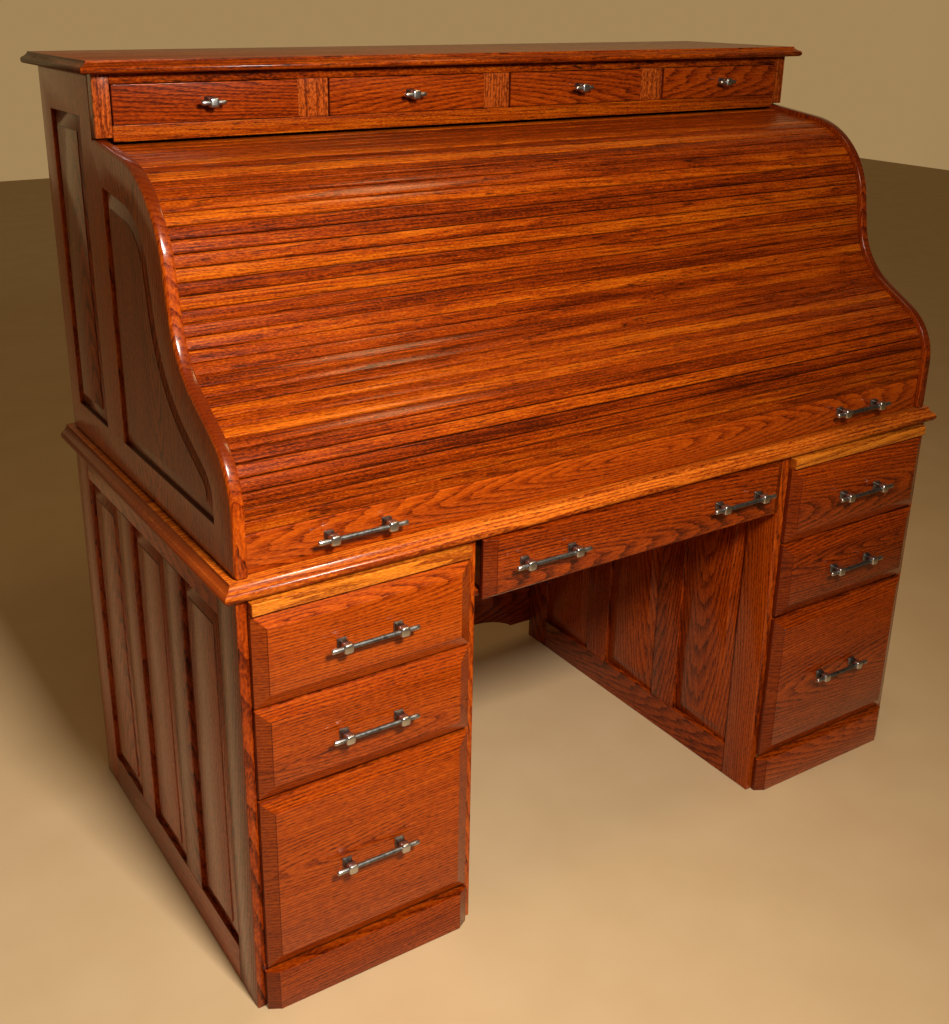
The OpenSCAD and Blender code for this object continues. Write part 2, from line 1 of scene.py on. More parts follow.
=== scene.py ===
# %% [markdown]
# # A roll top desk in stained red oak
# The desk is a frame of many separate boards: two pedestals with drawers, a
# slab on top of them, and an S-shaped case that a curtain of thin slats rolls
# back into. The frame of plain boards comes ready, in metres, with the floor
# at zero, the front towards -Y and the sitter's right hand towards +X. This
# lesson gives every board its eased edges, its own grain and its lacquer.

# %% Open the frame
import json
import math
import random
import bpy
import bmesh
import numpy as np
from mathutils import Matrix, Vector


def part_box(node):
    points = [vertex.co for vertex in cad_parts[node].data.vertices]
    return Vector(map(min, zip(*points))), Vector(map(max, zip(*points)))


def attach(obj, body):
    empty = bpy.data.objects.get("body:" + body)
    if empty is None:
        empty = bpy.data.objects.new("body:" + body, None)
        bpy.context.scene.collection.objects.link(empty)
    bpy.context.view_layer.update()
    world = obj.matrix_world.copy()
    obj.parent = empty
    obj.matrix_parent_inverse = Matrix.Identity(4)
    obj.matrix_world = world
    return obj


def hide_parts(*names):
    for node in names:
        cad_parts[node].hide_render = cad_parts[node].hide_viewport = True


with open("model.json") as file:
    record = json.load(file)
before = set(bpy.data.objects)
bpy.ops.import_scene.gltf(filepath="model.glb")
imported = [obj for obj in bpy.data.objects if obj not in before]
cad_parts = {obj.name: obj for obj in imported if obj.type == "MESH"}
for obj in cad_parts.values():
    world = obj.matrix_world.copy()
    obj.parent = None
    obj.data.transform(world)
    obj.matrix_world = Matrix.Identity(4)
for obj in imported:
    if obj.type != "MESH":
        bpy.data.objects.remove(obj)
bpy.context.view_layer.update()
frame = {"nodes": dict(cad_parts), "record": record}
MM = 0.001
body_of = {n: body for body, members in frame["record"]["behaviour"]["bodies"].items()
           for n in members}

# %% [markdown]
# ## The camera
# A viewer who stands a little left of the desk, just above its top, sees two
# drawer stacks, the kneehole and the whole curtain. A camera is an object whose
# own -Z looks forward, so its turn is written as three axes: right, up and back.

# %% Place the camera
camera_data = bpy.data.cameras.new("camera")
camera = bpy.data.objects.new("camera", camera_data)
bpy.context.scene.collection.objects.link(camera)
azimuth, elevation, roll = (math.radians(a) for a in (-32.645, 20.527, 0.59))
back = Vector((math.sin(azimuth) * math.cos(elevation),
               -math.cos(azimuth) * math.cos(elevation), math.sin(elevation)))
level = Vector((0, 0, 1)).cross(back).normalized()
rise = back.cross(level)
right = level * math.cos(roll) + rise * math.sin(roll)
up = rise * math.cos(roll) - level * math.sin(roll)
camera.matrix_world = Matrix.Translation((-1.3138, -1.7951, 1.5326)) @ Matrix(
    (right, up, back)).transposed().to_4x4()
camera_data.lens = 42.67
camera_data.shift_x = 0.0273
camera_data.shift_y = -0.0634
bpy.context.scene.camera = camera
print("camera at", [round(v, 2) for v in camera.location])

# %% [markdown]
# ## Colours and nodes
# Colours are easiest to pick as hex values, which are meant for a screen.
# A shader wants linear light, so one function turns the one into the other.
# A second function adds a node to any tree, sets it up and links it, so that a
# material below reads as a short recipe.

# %% Helpers for colours and nodes
def paint(hex_colour):
    """The linear colour of an sRGB hex value."""
    parts = [int(hex_colour[i:i + 2], 16) / 255 for i in (1, 3, 5)]
    return tuple(c / 12.92 if c <= 0.04045 else ((c + 0.055) / 1.055) ** 2.4
                 for c in parts) + (1,)


def add(tree, kind, inputs=None, **settings):
    """A new node. An input is a value, or another node's output to link."""
    made = tree.nodes.new(kind)
    for key, value in settings.items():
        setattr(made, key, value)
    for key, value in (inputs or {}).items():
        if isinstance(value, bpy.types.NodeSocket):
            tree.links.new(value, made.inputs[key])
        else:
            made.inputs[key].default_value = value
    return made


def maths(tree, operation, *values):
    """The result of one sum on numbers or sockets."""
    return add(tree, "ShaderNodeMath", dict(enumerate(values)), operation=operation).outputs[0]


def new_material(name):
    """An empty material with its output and shader linked."""
    material = bpy.data.materials.new(name)
    material.use_nodes = True
    tree = material.node_tree
    tree.nodes.clear()
    shader = add(tree, "ShaderNodeBsdfPrincipled")
    add(tree, "ShaderNodeOutputMaterial", {"Surface": shader.outputs[0]})
    return material, tree, shader


# %% [markdown]
# ## The studio
# A plain pale floor, a lamp close to the viewer that falls off towards the far
# pedestal, one soft lamp overhead for the lines of light along the slats, and a
# weak fill that the lacquer doesn't mirror. The world is bright behind the desk
# and dark in front, and is what the lacquer mirrors on its shaded sides.

# %% Floor, lamps and world
floor_mesh = bpy.data.meshes.new("floor")
floor_mesh.from_pydata([(-9, -7, 0), (9, -7, 0), (9, 9, 0), (-9, 9, 0)], [], [(0, 1, 2, 3)])
floor = bpy.data.objects.new("floor", floor_mesh)
bpy.context.scene.collection.objects.link(floor)
floor_paint, tree, shader = new_material("pale painted floor")
where = add(tree, "ShaderNodeTexCoord").outputs["Object"]
mottle = add(tree, "ShaderNodeTexNoise", {"Vector": where, "Scale": 6.0, "Detail": 5.0})
tint = add(tree, "ShaderNodeMix", {"Factor": mottle.outputs["Fac"], "A": paint("#c9ac84"),
                                   "B": paint("#d6bd97")}, data_type="RGBA")
tree.links.new(tint.outputs["Result"], shader.inputs["Base Color"])
shader.inputs["Roughness"].default_value = 0.75
shader.inputs["Specular IOR Level"].default_value = 0.25
floor_mesh.materials.append(floor_paint)


def lamp(name, at, aim, size, watts, colour):
    """A square soft lamp that looks at a point."""
    data = bpy.data.lights.new(name, "AREA")
    data.size, data.energy, data.color = size, watts, paint(colour)[:3]
    made = bpy.data.objects.new(name, data)
    bpy.context.scene.collection.objects.link(made)
    made.matrix_world = Matrix.Translation(at) @ (
        Vector(at) - Vector(aim)).to_track_quat("Z", "Y").to_matrix().to_4x4()
    return made


main = lamp("main lamp", (-0.62, -1.80, 2.05), (-0.80, 0, 0.60), 0.30, 36, "#fff3e2")
main.data.spread = math.radians(120)
lamp("lamp overhead", (0.50, -0.50, 2.75), (0, 0, 0.9), 0.40, 8, "#ffd899")
fill = lamp("soft fill", (-0.9, -3.4, 2.6), (0, 0, 0.5), 2.0, 11, "#fff0dc")
fill.visible_glossy = False
world = bpy.data.worlds.new("room")
bpy.context.scene.world = world
world.use_nodes = True
room = world.node_tree
around = add(room, "ShaderNodeTexCoord").outputs["Generated"]
toward = add(room, "ShaderNodeSeparateXYZ", {0: around})
far_wall = add(room, "ShaderNodeMapRange", {"Value": toward.outputs["Y"], "From Min": -0.1,
                                            "From Max": 0.6, "To Min": 0.06, "To Max": 0.50})
room.nodes["Background"].inputs["Color"].default_value = paint("#dcb47a")
room.links.new(far_wall.outputs[0], room.nodes["Background"].inputs["Strength"])
bpy.context.scene.view_settings.view_transform = "Standard"
bpy.context.scene.view_settings.look = "None"

# %% [markdown]
# ## Red oak, stained and lacquered
# Red oak is a ring-porous wood: each year's growth starts with a band of open
# pores, which drink the stain and turn dark, and ends in dense wood that stays
# orange. A board sawn beside the heart shows the rings as nested arches; one
# sawn further out shows nearly straight lines. So the pattern is built the way
# the tree is: rings are circles round a heart that is slightly out of line
# with the board, and every board is a different place in that log. Each board
# carries its own measure of place, "grain", with X along the fibres, and a
# "tone" from -1 to 1, because no two boards take the stain alike.
#
# Real rings are 2 to 3 mm apart and pores 0.3 mm wide, which is finer than one
# can see from across the room, so rings are drawn 5 mm apart and pores 1.1 mm
# wide, or 1.6 mm on straight-grained boards. Where a face cuts across the
# fibres, as the end bevels of a drawer front do, the open ends drink more
# stain; "cut" says how far it does, from 0 to 1. The lacquer is a smooth coat
# over a rougher stained surface.

# %% The oak recipe
def oak(name, pale, warm, deep, pore, ring_mm=5.0, pore_mm=1.1, arch=0.09, streak=0.5,
        fleck=0.0, coat=1.0, fine_mm=2.0, rings=0.30):
    """Stained oak in three tones. arch tilts the rings and fleck is for ray fleck."""
    material, tree, shader = new_material(name)
    grain = add(tree, "ShaderNodeAttribute", attribute_name="grain").outputs["Vector"]
    tone = add(tree, "ShaderNodeAttribute", attribute_name="tone").outputs["Fac"]
    cut = add(tree, "ShaderNodeAttribute", attribute_name="cut").outputs["Fac"]

    def cloud(along, across, detail=2.0, rough=0.5):
        """Noise that is along mm long and across mm wide, drawn out by the fibres."""
        place = add(tree, "ShaderNodeVectorMath", {0: grain, 1: (
            1 / (along * MM), 1 / (across * MM), 1 / (across * MM))}, operation="MULTIPLY")
        return add(tree, "ShaderNodeTexNoise", {"Vector": place.outputs[0], "Scale": 1.0,
                   "Detail": detail, "Roughness": rough}).outputs["Fac"]

    axis = add(tree, "ShaderNodeSeparateXYZ", {0: grain}).outputs
    wander = maths(tree, "SUBTRACT", cloud(420, 60), 0.5)
    across = maths(tree, "ADD", axis["Y"], maths(tree, "MULTIPLY", wander, 0.020))
    depth = maths(tree, "ADD", axis["Z"], maths(tree, "MULTIPLY", axis["X"], arch))
    ring_r = maths(tree, "SQRT", maths(tree, "ADD", maths(tree, "MULTIPLY", across, across),
                                       maths(tree, "MULTIPLY", depth, depth)))
    uneven = maths(tree, "MULTIPLY", cloud(260, 16, 2.0), ring_mm * 1.5 * MM)
    year = maths(tree, "FRACT", maths(tree, "DIVIDE", maths(tree, "ADD", ring_r, uneven),
                                      ring_mm * MM))
    band = add(tree, "ShaderNodeValToRGB", {"Fac": year})
    for element, (at, shade) in zip([band.color_ramp.elements[0], band.color_ramp.elements[1],
                                     band.color_ramp.elements.new(0.22),
                                     band.color_ramp.elements.new(0.85)],
                                    [(0.0, 0.0), (1.0, 0.15), (0.22, 0.35), (0.62, 1.0)]):
        element.position, element.color = at, (shade, shade, shade, 1)
    drift = cloud(520, 14 if streak > 1.2 else 26, 4.0, 0.6)
    fine = cloud(fine_mm * 50, fine_mm, 3.0)
    speck = cloud(fine_mm * 4, fine_mm * 0.7, 1.0)
    mix = maths(tree, "ADD", maths(tree, "MULTIPLY", band.outputs["Color"], rings),
                maths(tree, "MULTIPLY", drift, streak))
    mix = maths(tree, "ADD", mix, maths(tree, "MULTIPLY", fine, 0.7))
    mix = maths(tree, "ADD", mix, maths(tree, "MULTIPLY", speck, 0.8))
    mix = maths(tree, "ADD", mix, maths(tree, "MULTIPLY", tone, 0.13))
    mix = maths(tree, "SUBTRACT", mix, streak * 0.5 + rings * 0.5 + 0.43)
    stain = add(tree, "ShaderNodeValToRGB", {"Fac": mix})
    ramp = stain.color_ramp
    ramp.elements[0].position, ramp.elements[0].color = 0.04, paint(deep)
    ramp.elements[1].position, ramp.elements[1].color = 0.78, paint(pale)
    middle = ramp.elements.new(0.36)
    middle.color = paint(warm)
    colour = stain.outputs["Color"]
    if fleck:
        ray = add(tree, "ShaderNodeMapRange", {"Value": cloud(7, 4.2, 2.0, 0.65), "From Min": 0.47,
                                               "From Max": 0.60})
        colour = add(tree, "ShaderNodeMix", {
            "Factor": maths(tree, "MULTIPLY", ray.outputs[0], fleck), "A": colour,
            "B": paint(deep)}, data_type="RGBA").outputs["Result"]
    open_pore = add(tree, "ShaderNodeMapRange", {"Value": cloud(pore_mm * 16, pore_mm, 1.0),
                                                 "From Min": 0.52, "From Max": 0.62})
    early = add(tree, "ShaderNodeMapRange", {"Value": band.outputs["Color"], "From Min": 0.9,
                                             "From Max": 0.1, "To Min": 0.25})
    pores = maths(tree, "MULTIPLY", open_pore.outputs[0], early.outputs[0])
    wood = add(tree, "ShaderNodeMix", {"Factor": maths(tree, "MULTIPLY", pores, 0.85),
                                       "A": colour, "B": paint(pore)}, data_type="RGBA")
    thirst = maths(tree, "MINIMUM", maths(tree, "MULTIPLY", cut, 1.15), 0.85)
    wood = add(tree, "ShaderNodeMix", {"Factor": thirst, "A": wood.outputs["Result"],
                                       "B": paint(deep)}, data_type="RGBA")
    tree.links.new(wood.outputs["Result"], shader.inputs["Base Color"])
    rough = add(tree, "ShaderNodeMapRange", {"Value": pores, "To Min": 0.38, "To Max": 0.60})
    tree.links.new(rough.outputs[0], shader.inputs["Roughness"])
    bump = add(tree, "ShaderNodeBump", {"Height": maths(tree, "SUBTRACT", 0.0, pores),
                                        "Strength": 0.35, "Distance": 0.15 * MM})
    tree.links.new(bump.outputs[0], shader.inputs["Normal"])
    shader.inputs["IOR"].default_value = 1.5
    shader.inputs["Specular IOR Level"].default_value = 0.05
    shader.inputs["Coat Weight"].default_value = coat
    shader.inputs["Coat Roughness"].default_value = 0.17
    shader.inputs["Coat IOR"].default_value = 1.34
    return material


plain_oak = oak("red oak, plain sawn, stained and lacquered", "#b34f09", "#8a3104", "#4e1402",
                "#260901")
straight_oak = oak("red oak, straight grained, stained and lacquered", "#bd620c", "#842f03",
                   "#3c0e01", "#1e0500", arch=0.02, streak=0.9, pore_mm=1.6, fine_mm=1.5,
                   rings=0.12, coat=0.45)
# The desktop's golden stain is paler than the rest of the desk. Part of that paleness is painted
# light: it stands for the light from above on its moulded front edge.
painted_light_edge_oak = oak("red oak, straight grained, golden, partly painted light", "#d67f26", "#bb5c14",
               "#7c2e08", "#4a1503", arch=0.02, streak=0.8, coat=0.4)
quarter_oak = oak("red oak, quarter sawn, stained and lacquered", "#bb5a1c", "#98400f", "#4e1704",
                  "#3c1003", arch=0.0, fleck=0.75)
# Paler gold for the writing boards: partly a lighter stain, partly painted light for the light that
# falls on their edges.
painted_light_golden_oak = oak("red oak, paler stain and painted light, lacquered", "#e0912e", "#c8701a", "#8d3f0c",
                 "#5a2206", arch=0.02)
pale_wood = oak("birch, clear finished", "#dcb27a", "#cf9f63", "#b98448", "#a06d36", ring_mm=11.0,
                arch=0.04, streak=0.35, coat=0.25)
print("oak finishes:", len(bpy.data.materials))

# %% [markdown]
# ## Pewter and canvas
# The pulls are cast, darkened and then rubbed, so that high places shine and
# hollows stay dark. The roll's backing is plain cotton canvas, glued to the
# slats, which shows its weave of threads about 0.8 mm apart.

# %% Pewter and canvas
pewter, tree, shader = new_material("cast pewter, darkened and rubbed")
where = add(tree, "ShaderNodeTexCoord").outputs["Object"]
tarnish = add(tree, "ShaderNodeTexNoise", {"Vector": where, "Scale": 1 / (6 * MM), "Detail": 4.0})
rubbed = add(tree, "ShaderNodeAttribute", attribute_name="rubbed").outputs["Fac"]
shine = maths(tree, "ADD", maths(tree, "MULTIPLY", rubbed, 0.7),
              maths(tree, "MULTIPLY", tarnish.outputs["Fac"], 0.5))
skin = add(tree, "ShaderNodeValToRGB", {"Fac": shine})
skin.color_ramp.elements[0].position, skin.color_ramp.elements[0].color = 0.2, paint("#3a3b3d")
skin.color_ramp.elements[1].position, skin.color_ramp.elements[1].color = 0.85, paint("#c3c6ca")
tree.links.new(skin.outputs["Color"], shader.inputs["Base Color"])
matt = add(tree, "ShaderNodeMapRange", {"Value": shine, "From Max": 0.9, "To Min": 0.55,
                                        "To Max": 0.30})
tree.links.new(matt.outputs[0], shader.inputs["Roughness"])
cast = add(tree, "ShaderNodeTexNoise", {"Vector": where, "Scale": 1 / (2.2 * MM), "Detail": 2.0})
grit = add(tree, "ShaderNodeBump", {"Height": cast.outputs["Fac"], "Strength": 0.3,
                                    "Distance": 0.2 * MM})
tree.links.new(grit.outputs[0], shader.inputs["Normal"])
shader.inputs["Metallic"].default_value = 1.0

canvas, tree, shader = new_material("cotton canvas")
where = add(tree, "ShaderNodeTexCoord").outputs["Object"]
threads = []
for direction in ("X", "Z"):
    wave = add(tree, "ShaderNodeTexWave", {"Vector": where, "Scale": 1 / (0.8 * MM) / 20},
               bands_direction=direction)
    threads.append(wave.outputs["Fac"])
weave = maths(tree, "MULTIPLY", *threads)
cloth = add(tree, "ShaderNodeMix", {"Factor": weave, "A": paint("#a08a66"), "B": paint("#cdbb96")},
            data_type="RGBA")
tree.links.new(cloth.outputs["Result"], shader.inputs["Base Color"])
lift = add(tree, "ShaderNodeBump", {"Height": weave, "Strength": 0.5, "Distance": 0.2 * MM})
tree.links.new(lift.outputs[0], shader.inputs["Normal"])
shader.inputs["Roughness"].default_value = 0.9

# %% [markdown]
# ## Boards with eased edges and their own grain
# A board straight off the saw has knife edges. A cabinet maker eases each one
# with a block plane, and under lacquer that small round catches a line of
# light. Each piece of the frame is copied, its doubled corners merged, and its
# sharp edges rounded by a Bevel modifier that reads how much from each edge.
# The copy's loose boards are then found one by one, and each gets its grain
# along its longest side, from a random place in the log.

# %% Helpers that make a board
def boards_of(mesh):
    """The separate boards of a mesh, each a list of vertex numbers."""
    parent = list(range(len(mesh.vertices)))

    def root(i):
        while parent[i] != i:
            parent[i] = parent[parent[i]]
            i = parent[i]
        return i

    for edge in mesh.edges:
        a, b = root(edge.vertices[0]), root(edge.vertices[1])
        parent[a] = b
    groups = {}
    for i in range(len(mesh.vertices)):
        groups.setdefault(root(i), []).append(i)
    return list(groups.values())


def saw_grain(mesh, seed, along=None, spread=0.16, heart=(0.03, 0.12)):
    """Gives each board its place in the log; along is the fibres' axis, 0 for X to 2 for Z."""
    rng = random.Random(seed)
    co = np.array([v.co for v in mesh.vertices])
    grain = np.zeros_like(co)
    tone = np.zeros(len(co))
    fibres = np.zeros(len(co), int)
    for board in sorted(boards_of(mesh), key=lambda b: tuple(np.round(co[b].min(0), 4))):
        points = co[board]
        size = points.max(0) - points.min(0)
        order = list(np.argsort(-size))
        if along is not None:
            order = [along] + [a for a in order if a != along]
        place = points[:, order] - points.mean(0)[order]
        place[:, 0] += rng.uniform(-40, 40)
        place[:, 1] += rng.uniform(-spread, spread)
        # thickness is squeezed, so that the arches do not jump on a bevel
        place[:, 2] = 0.35 * place[:, 2] + rng.choice([-1, 1]) * rng.uniform(*heart)
        # the tilt of the rings works on X, so X is folded back near zero for it
        place[:, 0] = place[:, 0] - round(float(place[:, 0].mean())) + rng.uniform(-0.4, 0.4)
        grain[board] = place
        tone[board] = rng.uniform(-1, 1)
        fibres[board] = order[0]
    for name, kind, values in (("grain", "FLOAT_VECTOR", grain), ("tone", "FLOAT", tone)):
        made = mesh.attributes.get(name) or mesh.attributes.new(name, kind, "POINT")
        made.data.foreach_set("vector" if kind == "FLOAT_VECTOR" else "value",
                              values.astype(np.float32).ravel())
    made = mesh.attributes.new("cut", "FLOAT", "FACE")
    made.data.foreach_set("value", [abs(p.normal[fibres[p.vertices[0]]])
                                    for p in mesh.polygons])


def merged_copy(node, keep=None):
    """A bmesh of a frame piece with its corners merged; keep chooses boards by their box."""
    bm = bmesh.new()
    bm.from_mesh(frame["nodes"][node].data)
    bmesh.ops.remove_doubles(bm, verts=bm.verts, dist=0.01 * MM)
    bmesh.ops.dissolve_limit(bm, angle_limit=math.radians(0.4), verts=bm.verts, edges=bm.edges)
    if keep:
        mesh = bpy.data.meshes.new("sorting")
        bm.to_mesh(mesh)
        co = np.array([v.co for v in mesh.vertices])
        drop = [i for b in boards_of(mesh) if not keep(co[b].min(0), co[b].max(0)) for i in b]
        bpy.data.meshes.remove(mesh)
        bm.verts.ensure_lookup_table()
        bmesh.ops.delete(bm, geom=[bm.verts[i] for i in drop], context="VERTS")
    return bm


def finish(bm, name, material, ease=1.0, ease_at=None, sharp=28, steps=2, grain=None):
    """Turns a bmesh into a piece: eased edges, smooth shading, grain and finish."""
    weight = bm.edges.layers.float.get("bevel_weight_edge") or bm.edges.layers.float.new(
        "bevel_weight_edge")
    most = max(ease, max((ease_at(e) for e in bm.edges), default=0) if ease_at else 0)
    for edge in bm.edges:
        if len(edge.link_faces) == 2 and edge.calc_face_angle(0) > math.radians(sharp):
            edge[weight] = (ease_at(edge) if ease_at else ease) / most
    rough_mesh = bpy.data.meshes.new(name)
    bm.to_mesh(rough_mesh)
    bm.free()
    piece = bpy.data.objects.new(name, rough_mesh)
    bpy.context.scene.collection.objects.link(piece)
    for polygon in rough_mesh.polygons:
        polygon.use_smooth = True
    bevel = piece.modifiers.new("eased edges", "BEVEL")
    bevel.limit_method, bevel.width, bevel.segments = "WEIGHT", most * MM, steps
    bevel.harden_normals = True
    bevel.use_clamp_overlap = True
    depsgraph = bpy.context.evaluated_depsgraph_get()
    mesh = bpy.data.meshes.new_from_object(piece.evaluated_get(depsgraph))
    piece.modifiers.remove(bevel)
    piece.data = mesh
    bpy.data.meshes.remove(rough_mesh)
    mesh.name = name
    mesh.materials.clear()
    mesh.materials.append(material)
    saw_grain(mesh, name, **(grain or {}))
    return piece


def place(piece, node, slot):
    """Hangs a finished piece on its body and hides the plain one."""
    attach(piece, body_of[node])
    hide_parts(node)
    return piece


# %% [markdown]
# ## The case
# Side frames, panels, rails and boards keep the shapes of the frame. Only
# their edges differ: outside arrises of the side frames are rounded a little
# more than the small ones of a raised panel, whose crisp bevel is the point.

# %% The plain boards of the case
case_boards = {
    "left_outer_side": (plain_oak, 1.6), "left_knee_side": (plain_oak, 1.6),
    "right_knee_side": (plain_oak, 1.6), "right_outer_side": (plain_oak, 1.6),
    "left_side_panels": (plain_oak, 0.7), "right_side_panels": (plain_oak, 0.7),
    "pedestal_bottoms": (pale_wood, 0.6), "pedestal_backs": (plain_oak, 0.6),
    "kick_boards": (plain_oak, 0.9), "modesty_panel": (plain_oak, 1.5),
    "centre_runners": (plain_oak, 0.8), "deck_back_panel": (plain_oak, 0.9),
    "small_drawer_bay": (pale_wood, 0.6), "pigeonholes": (straight_oak, 0.8),
}
for node, (material, ease) in case_boards.items():
    place(finish(merged_copy(node), node + "_finished", material, ease), node,
          "pale_wood" if material is pale_wood else "oak")
for node in ("left_webs", "right_webs"):
    front_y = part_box(node)[0].y
    for part, material, slot, test in (
            ("front_rails", plain_oak, "oak", lambda lo, hi: lo[1] < front_y + 0.001),
            ("runners", pale_wood, "pale_wood", lambda lo, hi: lo[1] >= front_y + 0.001)):
        place(finish(merged_copy(node, test), f"{node}_{part}", material, 0.7), node, slot)
print("case pieces:", len(case_boards) + 4)

# %% [markdown]
# ## The moulded slabs
# The desktop and the top board end in a small step, a hollow and a round nose.
# Their long grain runs from side to side.

# %% Desktop and top board
# The desktop's paler golden finish is partly painted light, for the light from above on its moulded
# edge.
for node in ("desktop", "top_board"):
    place(finish(merged_copy(node), node + "_finished",
                 painted_light_edge_oak if node == "desktop" else straight_oak, 0.6, sharp=42), node, "oak")

# %% [markdown]
# ## The S-shaped sides
# The front edge of each side follows the curtain's path and is rounded over
# with a large cutter, most on the outside, so a long line of light runs down
# it. Only the outline gets that large round: the edges of the two panel pockets
# get a small one. An outline face is one that spans the board's whole thickness.

# %% Deck sides
outer_round, inner_round, pocket_round = 6.0, 2.5, 0.9
for node in ("left_deck_side", "right_deck_side"):
    lo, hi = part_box(node)
    thick = hi.x - lo.x

    def outline_round(edge, thick=thick, widest=max(abs(lo.x), abs(hi.x))):
        for face in edge.link_faces:
            xs = [v.co.x for v in face.verts]
            if abs(face.normal.x) < 0.1 and max(xs) - min(xs) > 0.9 * thick:
                on_outside = abs(edge.verts[0].co.x) > widest - 1 * MM
                return outer_round if on_outside else inner_round
        return pocket_round

    place(finish(merged_copy(node), node + "_finished", plain_oak, 0.9, outline_round, steps=4,
                 grain=dict(along=2, spread=0.05)), node, "oak")
    print(node, "thickness mm:", round(thick / MM, 1))

# %% [markdown]
# ## The S-shaped panels
# A raised panel has a thin rim that sits in the pocket, a wide bevel, and a
# flat field. Round the curves of the S the bevel has to follow the outline, so
# it is lofted: the outline of the rim and the outline of the field have the
# same number of corners, and each pair of corners is joined by one face. A
# small step is left where the field begins, and draws a thin shadow round it.

# %% Loft the S panels
def loop_at(bm, x):
    """The ordered corners of the flat face of a bmesh at one X."""
    rim = [e for e in bm.edges if all(abs(v.co.x - x) < 0.02 * MM for v in e.verts)
           and sum(all(abs(w.co.x - x) < 0.02 * MM for w in f.verts) for f in e.link_faces) == 1]
    joined = {}
    for e in rim:
        a, b = e.verts
        joined.setdefault(a, []).append(b)
        joined.setdefault(b, []).append(a)
    start = min(joined, key=lambda v: (round(v.co.z, 5), v.co.y))
    path, last, here = [start], None, start
    while True:
        step = [v for v in joined[here] if v is not last]
        step = max(step, key=lambda v: v.co.z) if last is None else step[0]
        if step is start:
            return [v.co.copy() for v in path]
        path.append(step)
        last, here = here, step


def s_panel(side, reach):
    """One S-shaped raised panel on the given side, with its field reach metres proud."""
    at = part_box("deck_side_panels")
    inner_x = (at[1].x - reach) * side
    outer_x = at[1].x * side
    bm = merged_copy("deck_side_panels", lambda lo, hi: (hi[0] > 0) == (side > 0)
                     and hi[1] < s_panel_back)
    rim, field = loop_at(bm, inner_x), loop_at(bm, outer_x)
    bm.free()
    rim_x = inner_x + side * panel_rim
    made = bmesh.new()
    rings = [[made.verts.new((x, p.y, p.z)) for p in loop]
             for x, loop in ((inner_x, rim), (rim_x, rim), (outer_x - side * panel_step, field),
                             (outer_x, field))]
    for low, high in zip(rings, rings[1:]):
        for i in range(len(rim)):
            j = (i + 1) % len(rim)
            made.faces.new((low[i], low[j], high[j], high[i]))
    made.faces.new(rings[0])
    made.faces.new(rings[-1])
    bmesh.ops.recalc_face_normals(made, faces=made.faces)
    return made


panel_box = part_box("deck_side_panels")
panel_reach, panel_rim, panel_step = 9.2 * MM, 4 * MM, 0.8 * MM
s_panel_back = (panel_box[0].y + panel_box[1].y) / 2 + 0.12
for side, word in ((-1, "left"), (1, "right")):
    piece = finish(s_panel(side, panel_reach), f"{word}_s_panel", plain_oak, 0.7,
                   grain=dict(along=2, spread=0.05))
    place(piece, "deck_side_panels", "oak")
rear = merged_copy("deck_side_panels", lambda lo, hi: hi[1] >= s_panel_back)
place(finish(rear, "rear_deck_panels", plain_oak, 0.7), "deck_side_panels", "oak")

# %% [markdown]
# ## The fascia
# The rails above and below the small drawers are straight grained. The upright
# pieces between them were cut on the quarter, through the rays of the log, and
# show a mottled fleck. The two kinds of board are told apart by their shape.

# %% Fascia rails and stiles
long_board = lambda lo, hi: hi[0] - lo[0] > 0.5
place(finish(merged_copy("fascia", long_board), "fascia_rails", straight_oak, 0.7), "fascia", "oak")
place(finish(merged_copy("fascia", lambda lo, hi: not long_board(lo, hi)), "fascia_stiles",
             quarter_oak, 0.8), "fascia", "oak")

# %% [markdown]
# ## The drawers
# Each drawer is a pale box of thin boards with a stained front fixed to it.
# The front is the board that reaches furthest forward.

# %% Fronts and boxes
drawers = [n for n in frame["nodes"] if n.startswith(("left_drawer", "right_drawer",
                                                      "centre_drawer", "small_drawer_"))
           and n != "small_drawer_bay"]
for node in sorted(drawers):
    front_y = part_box(node)[0].y + 1 * MM
    is_front = lambda lo, hi, y=front_y: lo[1] < y
    heart = dict(heart=(0.012, 0.045), spread=0.07) if "small" not in node else {}
    place(finish(merged_copy(node, is_front), node + "_front", plain_oak, 0.9, grain=heart),
          node, "oak")
    place(finish(merged_copy(node, lambda lo, hi: not is_front(lo, hi)), node + "_box",
                 pale_wood, 0.5), node, "pale_wood")
print("drawers:", len(drawers))

# %% [markdown]
# ## The writing boards
# Two boards slide out above the drawers. Their edges are lighter than the rest of
# the desk, partly as a paler stain and partly as painted light, for the light
# that falls on them from above.

# %% Writing boards
for node in ("left_writing_board", "right_writing_board"):
    place(finish(merged_copy(node), node + "_finished", painted_light_golden_oak, 1.2, grain=dict(along=0)),
          node, "oak")

# %% [markdown]
# ## The pulls
# A pull is a thin round bar held by two square posts. A post has a flat foot,
# a thick neck that tapers, and a head like a soft cube for the bar to run through. A
# loft of square rings makes the post in one piece, and a second loft of round
# rings makes the bar with its slightly swollen, rounded ends. Each ring also says
# how bright hands have rubbed it: heads and bar ends most, necks least.

# %% Build the pulls
def ring_loft(bm, rings, rubbed):
    """Joins rings of points with faces, and closes both ends; rubbed is each ring's shine."""
    rows = [[bm.verts.new(p) for p in ring] for ring in rings]
    layer = bm.verts.layers.float["rubbed"]
    for row, shine in zip(rows, rubbed):
        for vert in row:
            vert[layer] = shine
    for low, high in zip(rows, rows[1:]):
        for i in range(len(low)):
            j = (i + 1) % len(low)
            bm.faces.new((low[i], low[j], high[j], high[i]))
    bm.faces.new(list(reversed(rows[0])))
    bm.faces.new(rows[-1])


